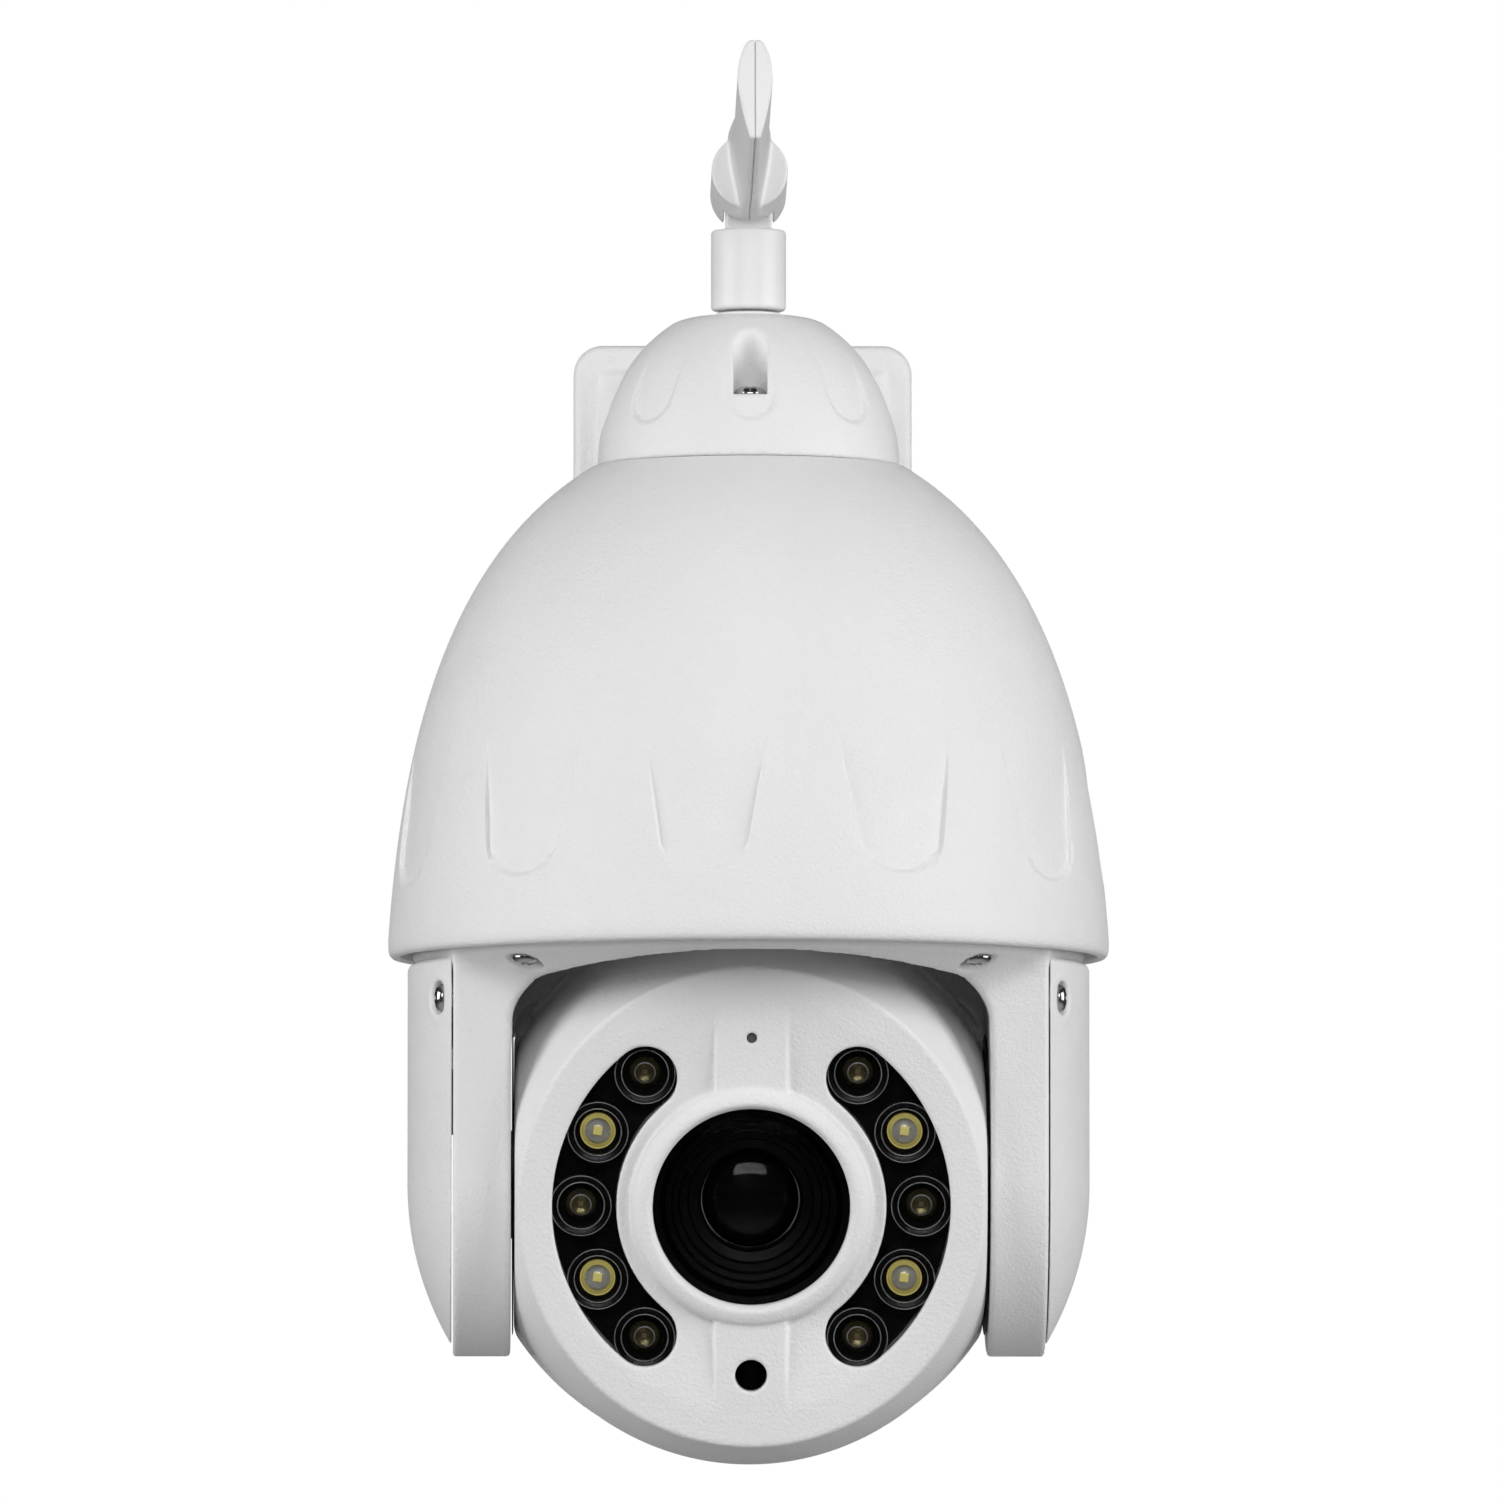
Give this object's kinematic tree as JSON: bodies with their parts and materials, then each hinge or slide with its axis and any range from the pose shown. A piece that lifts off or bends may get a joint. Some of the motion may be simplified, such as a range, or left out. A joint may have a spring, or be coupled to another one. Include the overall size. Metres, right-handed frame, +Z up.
{
  "type": "pan-tilt camera",
  "caption": "Outdoor pan-tilt camera: an ogive hood on a wall bracket, a turning yoke, a tilting round head with lamp windows, and a folding antenna.",
  "frame": {"origin": "centre of the wall plate's back face, against the wall", "axes": "+Z up along the pan axis, -Y out of the wall towards where the camera looks at rest, +X to the viewer's right when facing the lens"},
  "size_m": [0.1434, 0.1667, 0.2765],
  "materials": {
    "shell": "fine-textured off-white powder coat",
    "antenna": "satin white moulding",
    "steel": "stainless",
    "brass": "plated connector",
    "rubber": "black seal",
    "black": "black moulding",
    "gear": "natural acetal",
    "board": "solder mask",
    "glass": "dark clear window",
    "optic": "clear lens"
  },
  "bodies": {
    "root": {"wall_bracket": "shell", "cable_grommet": "rubber", "cap_gasket": "rubber", "cap_screw_front": "steel", "cap_screw_left": "steel", "cap_screw_right": "steel", "hood": "shell", "base_plate": "black", "main_board": "board", "pan_motor": "steel", "pan_bearing": "steel", "antenna_jack": "brass"},
    "pan_pinion": {"pan_pinion": "gear"},
    "pan_yoke": {"yoke": "shell", "turntable": "black", "pan_gear": "gear", "hub_nut": "steel", "yoke_screw_front_left": "steel", "yoke_screw_front_right": "steel", "yoke_screw_rear_left": "steel", "yoke_screw_rear_right": "steel", "arm_cover_left": "shell", "arm_cover_right": "shell", "cover_screw_left_front": "steel", "cover_screw_left_rear": "steel", "cover_screw_right_front": "steel", "cover_screw_right_rear": "steel", "tilt_bearing_left": "black", "tilt_bearing_right": "black", "tilt_motor": "steel"},
    "tilt_pinion": {"tilt_pinion": "gear"},
    "head": {"head_front_shell": "shell", "head_rear_shell": "shell", "head_seal": "rubber", "lens_window": "glass", "lens_barrel": "black", "lens_element": "optic", "sensor_board": "board", "led_board": "black", "light_sensor": "optic", "tilt_shaft_left": "steel", "tilt_shaft_right": "steel", "led_window_left": "glass", "led_window_right": "glass", "led_lens_left_1": "optic", "led_lens_left_2": "optic", "led_lens_left_3": "optic", "led_lens_left_4": "optic", "led_lens_left_5": "optic", "led_lens_right_1": "optic", "led_lens_right_2": "optic", "led_lens_right_3": "optic", "led_lens_right_4": "optic", "led_lens_right_5": "optic", "tilt_gear": "gear"},
    "antenna_base": {"antenna_collar": "antenna", "antenna_hinge_pin": "steel"},
    "antenna_paddle": {"antenna_shell_left": "antenna", "antenna_shell_right": "antenna", "antenna_element": "board"}
  },
  "joints": [
    {"name": "pan", "type": "hinge", "parent": "root", "child": "pan_yoke", "pos_m": [0, -0.086, -0.125], "axis": [0, 0, 1], "range_deg": [-177.5, 177.5]},
    {"name": "tilt", "type": "hinge", "parent": "pan_yoke", "child": "head", "pos_m": [0, -0.086, -0.125], "axis": [1, 0, 0], "range_deg": [-9, 81]},
    {"name": "pan_pinion_spin", "type": "hinge", "parent": "root", "child": "pan_pinion", "pos_m": [0, -0.044, -0.054], "axis": [0, 0, 1], "range_deg": [-1065, 1065]},
    {"name": "tilt_pinion_spin", "type": "hinge", "parent": "pan_yoke", "child": "tilt_pinion", "pos_m": [-0.0536, -0.086, -0.1026], "axis": [1, 0, 0], "range_deg": [-297, 33]},
    {"name": "antenna_swivel", "type": "hinge", "parent": "root", "child": "antenna_base", "pos_m": [0, -0.086, 0.055], "axis": [0, 0, 1], "range_deg": [-175, 175]},
    {"name": "antenna_fold", "type": "hinge", "parent": "antenna_base", "child": "antenna_paddle", "pos_m": [0, -0.086, 0.0746], "axis": [-1, 0, 0], "range_deg": [-7.5, 82.5]}
  ],
  "couplings": [
    {"joint": "pan_pinion_spin", "follows": "pan", "ratio": -6},
    {"joint": "tilt_pinion_spin", "follows": "tilt", "ratio": -3.6667}
  ]
}
